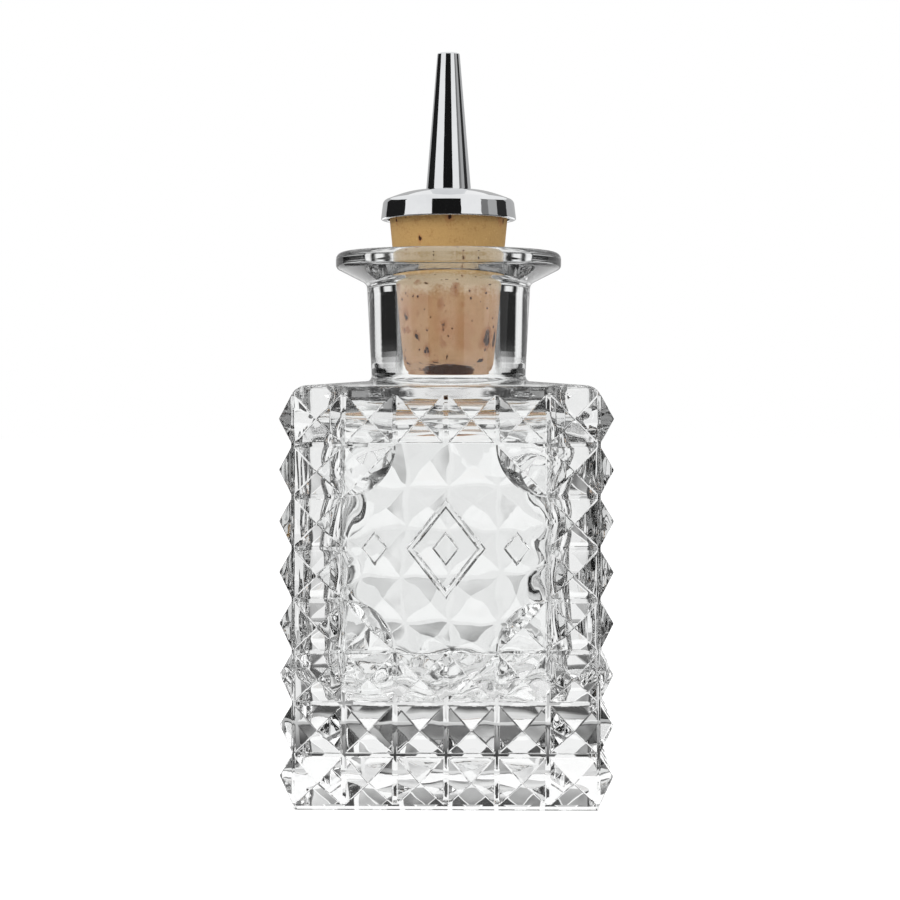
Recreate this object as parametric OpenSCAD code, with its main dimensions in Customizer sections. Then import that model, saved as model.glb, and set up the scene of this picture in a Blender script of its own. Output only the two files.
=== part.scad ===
// Square bitters bottle of studded clear glass, with a cork stopper that carries a metal dash spout.
// The bottle stands on Z = 0, its neck is on the Z axis, and the plain panel faces -Y.

/* [Glass body] */
// Width of the body across the flats that the studs stand on
body_w = 54; // [46:1:66]
// Stud columns on each face
stud_cols = 6; // [5:1:8]
// Stud rows on each face
stud_rows = 8; // [7:1:10]
// Height of the studded field
field_h = 72.8; // [60:0.2:90]
// How far a stud stands out from the flat
stud_h = 2.8; // [1.5:0.1:3.2]
// Plain band under the lowest studs
foot_h = 0.8; // [0.6:0.1:3]
// Glass between the flats and the cavity
wall = 5; // [3.5:0.5:7]
// Glass under the cavity
base_t = 19.5; // [8:0.5:24]
// Radius of the cavity's edges and corners
cavity_round = 4.5; // [3:0.5:8]
// Radius of the hollow under the base
punt_r = 20; // [12:1:21]
// Depth of the hollow under the base
punt_h = 0.8; // [0.4:0.1:2]

/* [Front panel] */
// Stud columns that the panel takes up
panel_cols = 4; // [2:1:4]
// Stud rows that the panel takes up
panel_rows = 4; // [2:1:4]
// Stud rows below the panel
panel_from = 3; // [1:1:3]
// How far the panel lies below the foot of the studs
panel_sink = 0.1; // [0.1:0.1:1]
// Half width of the large lozenge on the panel
lozenge_x = 7; // [4:0.5:9]
// Half height of the large lozenge on the panel
lozenge_z = 9; // [5:0.5:12]
// Width of the large lozenge's line
lozenge_line = 1.2; // [0.8:0.1:2]
// Size of a small lozenge against the large one
small_share = 0.34; // [0.2:0.02:0.4]
// How far the lozenges stand out from the panel
lozenge_h = 0.5; // [0.3:0.1:0.8]

/* [Shoulder and neck] */
// Height of the shoulder above the studs
shoulder_h = 2.2; // [2:0.1:5]
// Radius of the body's top edge
shoulder_round = 3; // [1.5:0.5:4]
// Glass round the bore at the neck's foot
neck_wall = 4.6; // [3.6:0.1:6]
// How much the neck widens from its foot to the flare
neck_grow = 0.85; // [0:0.05:2]
// Height of the neck from the shoulder to the flare
neck_h = 17.7; // [14:0.1:24]
// Height of the flare under the lip
flare_h = 3; // [2:0.5:5]
// How far the lip stands out from the neck
lip_out = 5.8; // [4:0.1:8]
// Thickness of the lip
lip_t = 3.4; // [2.4:0.1:4.4]
// Radius of the mouth's inner edge
mouth_round = 0.8; // [0.4:0.1:1.2]
// Depth of the tapered seat for the cork
seat_depth = 7.4; // [5:0.2:10]
// How far the bore widens into the cavity
throat_w = 6.5; // [3:0.5:7]
// Height over which the bore widens
throat_h = 14; // [5:0.5:15]

/* [Cork] */
// Length of the cork
cork_len = 27.8; // [25:0.1:34]
// How far the cork goes down below the top of the lip
cork_depth = 20.2; // [16:0.1:21]
// Radius of the cork's lower end
cork_foot_r = 8.5; // [7.4:0.05:9]
// Radius of the cork's upper end
cork_top_r = 11.35; // [10:0.05:12]
// Chamfer of the cork's lower edge
cork_chamfer = 0.5; // [0.2:0.1:1]
// Radius of the hole through the cork
cork_bore_r = 4.4; // [4:0.05:4.8]
// Clearance between the cork and the mouth
mouth_gap = 0.05; // [0.03:0.01:0.1]

/* [Dash head] */
// Thickness of the cap's rim round the cork
cap_rim = 1.15; // [0.8:0.05:2]
// How much the cap's side draws in towards the top
cap_draw = 0.3; // [0.1:0.1:0.6]
// Height of the cap's side
cap_side_h = 2.8; // [2:0.1:3.5]
// Height of the whole cap
cap_h = 5.6; // [5:0.1:7]
// Radius of the cap's upper edge
cap_round = 1.2; // [0.6:0.1:1.6]
// How deep the cork seats in the cap
cap_recess = 1.5; // [0.8:0.1:2]
// Radial gap between the cork and the cap's rim
cap_gap = 0.15; // [0.1:0.05:0.4]
// Metal round the passage at the spout's foot
spout_wall = 2.3; // [1.4:0.1:3]
// Metal round the nozzle at the spout's tip
tip_wall = 0.7; // [0.5:0.05:1]
// Height of the spout above the cap
spout_h = 25.6; // [18:0.2:34]
// Radius of the spout's passage at its foot
passage_r = 1.9; // [1.5:0.1:2]
// Metal round the passage in the spigot under the spout
spigot_wall = 0.7; // [0.5:0.1:1]
// Length of the spigot below the cap
spigot_len = 5; // [3:0.5:8]
// Length of the stem in the cork
stem_len = 14; // [11:0.5:18]
// Clearance between the stem's ribs and the cork
stem_gap = 0.05; // [0.02:0.01:0.1]
// Height of a rib on the stem
rib_h = 0.35; // [0.2:0.05:0.5]
// Ribs on the stem
rib_count = 4; // [2:1:5]
// Radius of the dash hole
dash_r = 0.8; // [0.5:0.1:1]
// Metal round the dash hole
nozzle_wall = 0.6; // [0.4:0.05:0.8]
// Length of the dash nozzle
nozzle_len = 4; // [2:0.5:6]
// How far the nozzle lies inside the tip
nozzle_sink = 0.4; // [0.2:0.1:1]
// Rounding of the spout's tip
tip_round = 0.3; // [0.2:0.05:0.45]

/* [Hidden] */
round_fn = 96;
soft_fn = 24;
arc_steps = 8;
// A cutting shape runs this far past the face that it opens
past = 1;

half_w = body_w / 2;
col_pitch = body_w / stud_cols;
row_pitch = field_h / stud_rows;
field_top = foot_h + field_h;
stud_slope = atan(stud_h / (row_pitch / 2));
foot_chamfer = foot_h / 2;

neck_foot_z = field_top + shoulder_h;
neck_top_z = neck_foot_z + neck_h;
lip_under_z = neck_top_z + flare_h;
lip_top_z = lip_under_z + lip_t;
mouth_z = lip_top_z - mouth_round;
seat_z = lip_top_z - seat_depth;

// The cork tapers evenly, and the mouth's seat follows it at the clearance
cork_foot_z = lip_top_z - cork_depth;
cork_top_z = cork_foot_z + cork_len;
cork_taper = (cork_top_r - cork_foot_r) / cork_len;
mouth_r = cork_foot_r + cork_taper * (mouth_z - cork_foot_z) + mouth_gap;
bore_r = cork_foot_r + cork_taper * (seat_z - cork_foot_z) + mouth_gap;

neck_foot_r = bore_r + neck_wall;
neck_top_r = neck_foot_r + neck_grow;
lip_r = neck_top_r + lip_out;
lip_round = lip_t / 2;
neck_fillet = 1.2;

// The shoulder starts along the slope of the top studs and ends along the roof that rises to the neck
edge_x = half_w - shoulder_round * cos(stud_slope);
edge_z = field_top - shoulder_round * sin(stud_slope);
roof_slope = atan((neck_foot_z - edge_z - shoulder_round) / (edge_x - neck_foot_r));
roof_z = neck_foot_z + neck_foot_r * tan(roof_slope);
fillet_z = neck_foot_z - neck_fillet * tan(roof_slope);

cavity_half = half_w - wall;
cavity_top_z = neck_foot_z - wall;

cap_z = cork_top_z - cap_recess;
cap_top_z = cap_z + cap_h;
recess_r = cork_top_r + cap_gap;
cap_r = recess_r + cap_rim;
spout_foot_r = passage_r + spout_wall;
spigot_r = passage_r + spigot_wall;
tip_z = cap_top_z + spout_h;
spigot_z = cork_top_z - spigot_len;
collar_t = 0.8;
collar_r = cork_bore_r + 1.6;
collar_gap = 0.05;
rib_r = cork_bore_r - stem_gap;
stem_r = rib_r - rib_h;
stem_foot_z = cork_top_z - stem_len;
rib_pitch = (stem_len - collar_t) / (rib_count + 1);
nozzle_r = dash_r + nozzle_wall;
spout_tip_r = nozzle_r + tip_wall;
nozzle_top_z = tip_z - nozzle_sink;
nozzle_foot_z = nozzle_top_z - nozzle_len;
nozzle_seat = 0.3;
panel_z = foot_h + (panel_from + panel_rows / 2) * row_pitch;

// Points of an arc of radius r round (x, z), from angle a to angle b
function arc(x, z, r, a, b, steps = arc_steps) =
    [for (i = [0:steps]) let (t = a + (b - a) * i / steps) [x + r * cos(t), z + r * sin(t)]];

// One side of the body seen along its face: foot, studs, top edge and roof, going up
function side_points() = concat(
    [[half_w - foot_chamfer, 0], [half_w, foot_chamfer]],
    [for (i = [0:stud_rows - 1]) each [
        [half_w, foot_h + i * row_pitch],
        [half_w + stud_h, foot_h + (i + 0.5) * row_pitch]]],
    arc(edge_x, edge_z, shoulder_round, stud_slope, 90 - roof_slope),
    [[0, roof_z]]);

function mirrored(points) = [for (i = [len(points) - 1:-1:0]) [-points[i][0], points[i][1]]];

// One side of the body seen from above: the crests and valleys of its stud columns
function crest_points() = [for (i = [0:stud_cols - 1]) each [
    [half_w, -half_w + i * col_pitch],
    [half_w + stud_h, -half_w + (i + 0.5) * col_pitch]]];

function turned(points, a) =
    [for (p = points) [p[0] * cos(a) - p[1] * sin(a), p[0] * sin(a) + p[1] * cos(a)]];

module side_outline() {
    polygon(concat(side_points(), mirrored(side_points())));
}

// The studs are what is left where ridges along X, Y and Z meet
module studded_block() {
    reach = half_w + stud_h + past;
    intersection() {
        linear_extrude(height = roof_z)
            polygon([for (a = [0:90:270]) each turned(crest_points(), a)]);
        rotate([90, 0, 0]) linear_extrude(height = 2 * reach, center = true) side_outline();
        rotate([90, 0, 90]) linear_extrude(height = 2 * reach, center = true) side_outline();
    }
}

// The panel's outline: a block of studs, less a quarter round at each corner
module panel_outline() {
    w = panel_cols * col_pitch;
    h = panel_rows * row_pitch;
    difference() {
        square([w, h], center = true);
        for (x = [-w / 2, w / 2], z = [-h / 2, h / 2])
            translate([x, z]) circle(r = min(col_pitch, row_pitch), $fn = round_fn);
    }
}

module panel_cut() {
    translate([0, -half_w + panel_sink, panel_z])
        rotate([90, 0, 0]) linear_extrude(height = stud_h + panel_sink + past) panel_outline();
}

module lozenge(x, z) {
    polygon([[x, 0], [0, z], [-x, 0], [0, -z]]);
}

// A large open lozenge with a small one inside it and one at each side
module panel_ornament() {
    small_x = lozenge_x * small_share;
    small_z = lozenge_z * small_share;
    side_x = (lozenge_x + panel_cols * col_pitch / 2) / 2;
    inner = 1 - lozenge_line / (lozenge_x * sin(atan(lozenge_z / lozenge_x)));
    root = wall / 4;
    translate([0, -half_w + panel_sink + root, panel_z])
        rotate([90, 0, 0]) linear_extrude(height = root + lozenge_h) {
            difference() {
                lozenge(lozenge_x, lozenge_z);
                lozenge(lozenge_x * inner, lozenge_z * inner);
            }
            for (x = [-side_x, 0, side_x]) translate([x, 0]) lozenge(small_x, small_z);
        }
}

// Neck, flare and lip, turned round the axis from inside the shoulder
module neck_solid() {
    rotate_extrude($fn = round_fn) polygon(concat(
        [[0, neck_foot_z - wall / 2], [neck_foot_r + neck_fillet, neck_foot_z - wall / 2]],
        arc(neck_foot_r + neck_fillet, fillet_z + neck_fillet, neck_fillet, 270, 180),
        [[neck_top_r, neck_top_z]],
        arc(lip_r - lip_round, lip_under_z + lip_round, lip_round, -60, 90),
        [[0, lip_top_z]]));
}

module cavity() {
    lo = cavity_round - cavity_half;
    hi = cavity_half - cavity_round;
    hull() for (x = [lo, hi], y = [lo, hi], z = [base_t + cavity_round, cavity_top_z - cavity_round])
        translate([x, y, z]) sphere(r = cavity_round, $fn = soft_fn);
}

// The bore opens into the cavity below and into the cork's tapered seat above
module bore() {
    rotate_extrude($fn = round_fn) polygon(concat(
        [[0, cavity_top_z - past], [bore_r + throat_w, cavity_top_z - past]],
        [for (i = [0:arc_steps]) let (t = 90 * i / arc_steps)
            [bore_r + throat_w * (1 - sin(t)), cavity_top_z + throat_h * (1 - cos(t))]],
        [[bore_r, seat_z]],
        arc(mouth_r + mouth_round, mouth_z, mouth_round, 180, 90),
        [[mouth_r + mouth_round, lip_top_z + past], [0, lip_top_z + past]]));
}

// A hollow with the curve of a large ball, so that the bottle stands on the rim round it
module punt() {
    ball_r = (punt_r * punt_r + punt_h * punt_h) / (2 * punt_h);
    translate([0, 0, punt_h - ball_r])
        rotate_extrude($fn = round_fn) intersection() {
            circle(r = ball_r, $fn = 4 * round_fn);
            translate([0, ball_r - punt_h - past]) square([punt_r, punt_h + 2 * past]);
        }
}

module glass_bottle() {
    color([0.86, 0.9, 0.91, 0.45]) difference() {
        union() {
            difference() {
                studded_block();
                panel_cut();
            }
            panel_ornament();
            neck_solid();
        }
        cavity();
        bore();
        punt();
    }
}

module cork_stopper() {
    color([0.78, 0.61, 0.38]) rotate_extrude($fn = round_fn) polygon([
        [cork_bore_r, cork_foot_z],
        [cork_foot_r - cork_chamfer, cork_foot_z],
        [cork_foot_r + cork_taper * cork_chamfer, cork_foot_z + cork_chamfer],
        [cork_top_r, cork_top_z],
        [collar_r + collar_gap, cork_top_z],
        [collar_r + collar_gap, cork_top_z - collar_t],
        [cork_bore_r, cork_top_z - collar_t]]);
}

// Domed cap with a recess for the cork and a hole for the spigot
module flange_cap() {
    side_top_r = cap_r - cap_draw;
    edge_r = side_top_r - cap_round;
    dome_z = cap_z + cap_side_h + cap_round;
    color([0.8, 0.81, 0.83]) rotate_extrude($fn = round_fn) polygon(concat(
        [[spigot_r, cork_top_z], [recess_r, cork_top_z], [recess_r, cap_z], [cap_r, cap_z]],
        arc(edge_r, cap_z + cap_side_h, cap_round, 0, 70),
        [for (i = [1:arc_steps]) let (t = i / arc_steps, r = edge_r + (spout_foot_r - edge_r) * t)
            [r, dome_z + (cap_top_z - dome_z) * sin(90 * t)]],
        [[spigot_r, cap_top_z]]));
}

// Tapered spout with a spigot below, bored right through
module spout_tube() {
    color([0.8, 0.81, 0.83]) rotate_extrude($fn = round_fn) polygon([
        [passage_r, spigot_z],
        [spigot_r, spigot_z],
        [spigot_r, cap_top_z],
        [spout_foot_r, cap_top_z],
        [spout_tip_r, tip_z - tip_round],
        [spout_tip_r - tip_round / 3, tip_z - tip_round / 3],
        [spout_tip_r - tip_round, tip_z],
        [nozzle_r, tip_z],
        [nozzle_r, nozzle_foot_z],
        [nozzle_r - nozzle_seat, nozzle_foot_z],
        [passage_r, cap_top_z]]);
}

// Tube that grips in the cork: a collar under the cap, and ribs along its length
module ribbed_stem() {
    color([0.72, 0.73, 0.75]) rotate_extrude($fn = round_fn) polygon(concat(
        [[passage_r, stem_foot_z], [stem_r - 0.4, stem_foot_z], [stem_r, stem_foot_z + 0.4]],
        [for (i = [1:rib_count]) let (z = stem_foot_z + i * rib_pitch) each [
            [stem_r, z - rib_h], [rib_r, z + rib_h], [rib_r, z + 2 * rib_h], [stem_r, z + 2 * rib_h]]],
        [[stem_r, cork_top_z - collar_t], [collar_r, cork_top_z - collar_t], [collar_r, cork_top_z]],
        [[spigot_r, cork_top_z], [spigot_r, spigot_z], [passage_r, spigot_z]]));
}

// Insert that narrows the spout's tip to the dash hole
module dash_nozzle() {
    color([0.6, 0.61, 0.63]) rotate_extrude($fn = round_fn) polygon([
        [dash_r, nozzle_foot_z],
        [nozzle_r, nozzle_foot_z],
        [nozzle_r, nozzle_top_z],
        [dash_r, nozzle_top_z]]);
}

glass_bottle();
cork_stopper();
flange_cap();
spout_tube();
ribbed_stem();
dash_nozzle();
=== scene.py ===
"""Looks of a square bitters bottle: studded clear glass, a cork stopper and a chromed dash head.

Sizes are in millimetres while a piece is being shaped, and each finished mesh is scaled to metres in the
frame that the CAD model gives: Z up along the neck, the plain panel facing -Y.
"""

from __future__ import annotations

import logging
import math
from dataclasses import dataclass
from enum import Enum
from typing import Any, Callable, Iterable

import bmesh
import bpy
from mathutils import Matrix, Vector, noise

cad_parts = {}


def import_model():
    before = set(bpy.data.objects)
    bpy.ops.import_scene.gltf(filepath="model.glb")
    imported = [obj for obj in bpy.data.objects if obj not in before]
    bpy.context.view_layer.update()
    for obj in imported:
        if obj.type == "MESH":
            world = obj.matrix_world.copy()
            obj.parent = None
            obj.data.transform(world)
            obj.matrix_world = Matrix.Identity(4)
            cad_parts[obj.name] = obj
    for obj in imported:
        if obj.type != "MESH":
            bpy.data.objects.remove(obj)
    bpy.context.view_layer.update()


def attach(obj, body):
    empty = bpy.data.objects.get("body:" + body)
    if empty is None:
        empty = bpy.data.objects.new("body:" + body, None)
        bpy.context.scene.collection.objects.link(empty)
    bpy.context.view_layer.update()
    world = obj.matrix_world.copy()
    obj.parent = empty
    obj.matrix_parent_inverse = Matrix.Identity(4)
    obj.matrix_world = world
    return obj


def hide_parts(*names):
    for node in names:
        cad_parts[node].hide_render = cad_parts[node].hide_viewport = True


LOG = logging.getLogger("bitters_bottle")
MM = 0.001
Point = tuple[float, float]
Colour = tuple[float, float, float, float]


class Body(Enum):
    """Moving bodies of the frame."""

    BOTTLE = "bottle"
    STOPPER = "stopper"
    DASH_HEAD = "dash_head"


class Slot(Enum):
    """Material slots of the record."""

    CLEAR_GLASS = "clear_glass"
    CORK = "cork"
    CHROME = "chrome"
    PLAIN_STEEL = "plain_steel"


class Cut(Enum):
    """Ways in which one solid is worked with another."""

    JOIN = "UNION"
    TAKE_AWAY = "DIFFERENCE"


# ---------------------------------------------------------------- shaping


class Shape:
    """A solid being shaped in millimetres with bmesh operators."""

    def __init__(self, name: str) -> None:
        """Starts an empty solid.

        Args:
            name: Name of the piece, or of the tool that cuts it.
        """
        self.name = name
        self.bm = bmesh.new()

    def block(self, lo: Iterable[float], hi: Iterable[float]) -> Shape:
        """Adds a box between two corners.

        Args:
            lo: Lowest corner in millimetres.
            hi: Highest corner in millimetres.

        Returns:
            This shape.
        """
        low, high = Vector(lo), Vector(hi)
        made = bmesh.ops.create_cube(self.bm, size=1.0)["verts"]
        bmesh.ops.scale(self.bm, vec=high - low, verts=made)
        bmesh.ops.translate(self.bm, vec=(low + high) / 2, verts=made)
        return self

    def turn(self, profile: list[Point], steps: int = 192, hold: float = 0.12) -> Shape:
        """Turns a profile round the Z axis, as on a lathe.

        Args:
            profile: Points (radius, height) in order; a last point equal to the first closes the ring.
            steps: Segments round the axis.
            hold: Distance of the extra rings that hold a long face flat beside its edges, in millimetres.

        Returns:
            This shape.
        """
        points = held(profile, hold)
        closed = points[0] == points[-1]
        verts = [self.bm.verts.new((r, 0.0, z)) for r, z in (points[:-1] if closed else points)]
        pairs = list(zip(verts, verts[1:])) + ([(verts[-1], verts[0])] if closed else [])
        edges = [self.bm.edges.new(pair) for pair in pairs]
        bmesh.ops.spin(
            self.bm, geom=verts + edges, cent=(0, 0, 0), axis=(0, 0, 1), dvec=(0, 0, 0), angle=math.tau,
            steps=steps, use_merge=True, use_normal_flip=False, use_duplicate=False,
        )
        bmesh.ops.remove_doubles(self.bm, verts=self.bm.verts, dist=1e-4)
        return self.outward()

    def outward(self) -> Shape:
        """Turns every face outwards."""
        bmesh.ops.recalc_face_normals(self.bm, faces=self.bm.faces)
        return self

    def smooth(self, angle: float = 35.0) -> Shape:
        """Shades the whole shape smooth, apart from edges sharper than an angle.

        Args:
            angle: Angle in degrees.

        Returns:
            This shape.
        """
        for face in self.bm.faces:
            face.smooth = True
        for edge in self.bm.edges:
            edge.smooth = edge.is_manifold and edge.calc_face_angle(0.0) < math.radians(angle)
        return self

    def soften(self, edges: list[bmesh.types.BMEdge], width: float, segments: int = 3) -> Shape:
        """Rounds edges.

        Args:
            edges: The edges to round.
            width: Width of the rounding on each side, in millimetres.
            segments: Faces across the rounding.

        Returns:
            This shape.
        """
        bmesh.ops.bevel(
            self.bm, geom=edges, offset=width, offset_type="OFFSET", segments=segments, profile=0.5,
            affect="EDGES", clamp_overlap=True, material=-1, loop_slide=True,
        )
        return self

    def thing(self) -> bpy.types.Object:
        """Makes the shape an object, still in millimetres, and links it to the scene."""
        mesh = bpy.data.meshes.new(self.name)
        self.bm.to_mesh(mesh)
        self.bm.free()
        made = bpy.data.objects.new(self.name, mesh)
        bpy.context.scene.collection.objects.link(made)
        return made


def arc(x: float, z: float, radius: float, start: float, end: float, steps: int = 10) -> list[Point]:
    """Gives the points of an arc.

    Args:
        x: Radius at which the arc's centre lies.
        z: Height of the arc's centre.
        radius: Radius of the arc.
        start: First angle in degrees.
        end: Last angle in degrees.
        steps: Segments along the arc.

    Returns:
        Points (radius, height).
    """
    angles = [math.radians(start + (end - start) * i / steps) for i in range(steps + 1)]
    return [(x + radius * math.cos(a), z + radius * math.sin(a)) for a in angles]


def held(profile: list[Point], hold: float) -> list[Point]:
    """Adds a point close to each end of every long segment, so that smooth shading stays beside the edge.

    Args:
        profile: Points (radius, height) in order.
        hold: Distance of the added points from the ends.

    Returns:
        The profile with the added points.
    """
    made: list[Point] = [profile[0]]
    for (r0, z0), (r1, z1) in zip(profile, profile[1:]):
        length = math.hypot(r1 - r0, z1 - z0)
        if length > 4 * hold > 0:
            for share in (hold / length, 1 - hold / length):
                made.append((r0 + (r1 - r0) * share, z0 + (z1 - z0) * share))
        made.append((r1, z1))
    return made


def work(piece: bpy.types.Object, tool: bpy.types.Object, cut: Cut) -> None:
    """Joins a tool to a piece or cuts it away, and removes the tool.

    Args:
        piece: The piece that is worked.
        tool: The solid that is joined or cut away.
        cut: Which of the two.
    """
    step = piece.modifiers.new("work", "BOOLEAN")
    step.operation, step.solver, step.object = cut.value, "EXACT", tool
    bpy.context.view_layer.update()
    shown = piece.evaluated_get(bpy.context.evaluated_depsgraph_get())
    mesh, old = bpy.data.meshes.new_from_object(shown), piece.data
    piece.modifiers.clear()
    piece.data = mesh
    mesh.name = piece.name
    bpy.data.meshes.remove(old)
    bpy.data.objects.remove(tool)


def finish_piece(piece: bpy.types.Object, body: Body, node: str, finish: bpy.types.Material) -> None:
    """Scales a shaped piece to metres, dresses it and hangs it on its body.

    Args:
        piece: The piece, in millimetres.
        body: Body that it moves with.
        node: CAD node that it stands for.
        finish: Its material.
    """
    piece.data.transform(Matrix.Scale(MM, 4))
    piece.data.materials.clear()
    piece.data.materials.append(finish)
    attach(piece, body.value)
    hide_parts(node)
    LOG.info("%s: %d faces on %s, for %s", piece.name, len(piece.data.polygons), body.value, node)


# ---------------------------------------------------------------- finishes


class Bench:
    """Places and wires the nodes of one tree."""

    def __init__(self, tree: bpy.types.NodeTree) -> None:
        """Takes the tree to work on, and empties it.

        Args:
            tree: Tree of a material, a world or a group.
        """
        self.tree = tree
        tree.nodes.clear()

    def put(self, kind: str, inputs: dict[Any, Any] | None = None, **settings: Any) -> bpy.types.Node:
        """Places a node.

        Args:
            kind: Blender's name of the node's type.
            inputs: Sockets by name or number, each with a value or the socket that feeds it.
            **settings: Settings of the node itself.

        Returns:
            The node.
        """
        node = self.tree.nodes.new(kind)
        for name, value in settings.items():
            setattr(node, name, value)
        for name, value in (inputs or {}).items():
            if isinstance(value, bpy.types.NodeSocket):
                self.tree.links.new(value, node.inputs[name])
            else:
                node.inputs[name].default_value = value
        return node

    def ramp(self, factor: bpy.types.NodeSocket, stops: list[tuple[float, Colour]]) -> bpy.types.NodeSocket:
        """Places a colour ramp.

        Args:
            factor: Socket that feeds it.
            stops: Places and colours, in order.

        Returns:
            Its colour socket.
        """
        node = self.put("ShaderNodeValToRGB", {"Fac": factor})
        elements = node.color_ramp.elements
        while len(elements) < len(stops):
            elements.new(0.5)
        for element, (place, colour) in zip(elements, stops):
            element.position, element.color = place, colour
        return node.outputs["Color"]

    def span(self, value: bpy.types.NodeSocket, low: float, high: float, to_low: float = 0.0, to_high: float = 1.0) -> bpy.types.NodeSocket:
        """Maps a span of values onto another, clamped.

        Args:
            value: Socket that feeds it.
            low: Start of the span.
            high: End of the span.
            to_low: Value given at the start.
            to_high: Value given at the end.

        Returns:
            The result's socket.
        """
        node = self.put("ShaderNodeMapRange", {"Value": value, "From Min": low, "From Max": high, "To Min": to_low, "To Max": to_high})
        return node.outputs["Result"]

    def sum(self, kind: str, first: Any, second: Any) -> bpy.types.NodeSocket:
        """Places a sum of two values.

        Args:
            kind: Blender's name of the sum, such as MULTIPLY.
            first: Value or socket.
            second: Value or socket.

        Returns:
            The result's socket.
        """
        return self.put("ShaderNodeMath", {0: first, 1: second}, operation=kind).outputs[0]

    def blend(self, factor: Any, first: Any, second: Any) -> bpy.types.NodeSocket:
        """Mixes two colours.

        Args:
            factor: Share of the second colour.
            first: Colour or socket.
            second: Colour or socket.

        Returns:
            The mixed colour's socket.
        """
        node = self.put("ShaderNodeMix", {0: factor, 6: first, 7: second}, data_type="RGBA")
        return node.outputs[2]

    def place(self, scale: tuple[float, float, float] = (1, 1, 1), turn: tuple[float, float, float] = (0, 0, 0)) -> bpy.types.NodeSocket:
        """Places object coordinates, scaled and turned.

        Args:
            scale: Scale along each axis.
            turn: Turn about each axis in degrees.

        Returns:
            The vector's socket.
        """
        where = self.put("ShaderNodeTexCoord").outputs["Object"]
        return self.put(
            "ShaderNodeMapping", {"Vector": where, "Scale": scale, "Rotation": [math.radians(t) for t in turn]}
        ).outputs["Vector"]


@dataclass(frozen=True)
class SharedEffects:
    """Node groups for effects that several finishes use."""

    mottle: bpy.types.NodeTree
    hairlines: bpy.types.NodeTree

    @classmethod
    def build(cls) -> SharedEffects:
        """Builds each group once."""
        return cls(cls._mottle(), cls._hairlines())

    @staticmethod
    def _group(name: str, inputs: list[tuple[str, str, Any]], output: str) -> tuple[bpy.types.NodeTree, Bench, bpy.types.Node]:
        """Starts a group.

        Args:
            name: Name of the group.
            inputs: Name, socket type and default value of each input.
            output: Name of its one output value.

        Returns:
            The group, its bench and its input node.
        """
        tree = bpy.data.node_groups.new(name, "ShaderNodeTree")
        bench = Bench(tree)
        for label, kind, value in inputs:
            socket = tree.interface.new_socket(name=label, in_out="INPUT", socket_type=kind)
            if value is not None:
                socket.default_value = value
        tree.interface.new_socket(name=output, in_out="OUTPUT", socket_type="NodeSocketFloat")
        return tree, bench, bench.put("NodeGroupInput")

    @classmethod
    def _mottle(cls) -> bpy.types.NodeTree:
        """Soft patches of two sizes, as in handled metal, glass and cork."""
        tree, bench, start = cls._group(
            "mottle",
            [("Vector", "NodeSocketVector", None), ("Scale", "NodeSocketFloat", 200.0), ("Fine", "NodeSocketFloat", 0.4)],
            "Value",
        )
        broad = bench.put("ShaderNodeTexNoise", {"Vector": start.outputs["Vector"], "Scale": start.outputs["Scale"], "Detail": 3.0})
        finer = bench.sum("MULTIPLY", start.outputs["Scale"], 5.3)
        small = bench.put("ShaderNodeTexNoise", {"Vector": start.outputs["Vector"], "Scale": finer, "Detail": 4.0})
        mixed = bench.put("ShaderNodeMix", {0: start.outputs["Fine"], 2: broad.outputs["Fac"], 3: small.outputs["Fac"]})
        bench.put("NodeGroupOutput", {"Value": bench.span(mixed.outputs[0], 0.3, 0.7)})
        return tree

    @classmethod
    def _hairlines(cls) -> bpy.types.NodeTree:
        """Sparse fine scratches in two directions."""
        tree, bench, start = cls._group(
            "hairlines",
            [("Vector", "NodeSocketVector", None), ("Scale", "NodeSocketFloat", 900.0), ("Amount", "NodeSocketFloat", 0.3)],
            "Mask",
        )
        masks = []
        for turn in (24.0, -51.0):
            where = bench.put(
                "ShaderNodeMapping",
                {"Vector": start.outputs["Vector"], "Rotation": (math.radians(turn), math.radians(turn / 2), 0.0), "Scale": (1.0, 1.0, 0.045)},
            )
            lines = bench.put("ShaderNodeTexNoise", {"Vector": where.outputs[0], "Scale": start.outputs["Scale"], "Detail": 2.0})
            masks.append(bench.span(lines.outputs["Fac"], 0.68, 0.78))
        both = bench.sum("MAXIMUM", masks[0], masks[1])
        bench.put("NodeGroupOutput", {"Mask": bench.sum("MULTIPLY", both, start.outputs["Amount"])})
        return tree


def new_material(name: str) -> tuple[bpy.types.Material, Bench]:
    """Starts a node material.

    Args:
        name: Name of the material.

    Returns:
        The material and its bench.
    """
    made = bpy.data.materials.new(name)
    made.use_nodes = True
    return made, Bench(made.node_tree)


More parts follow.
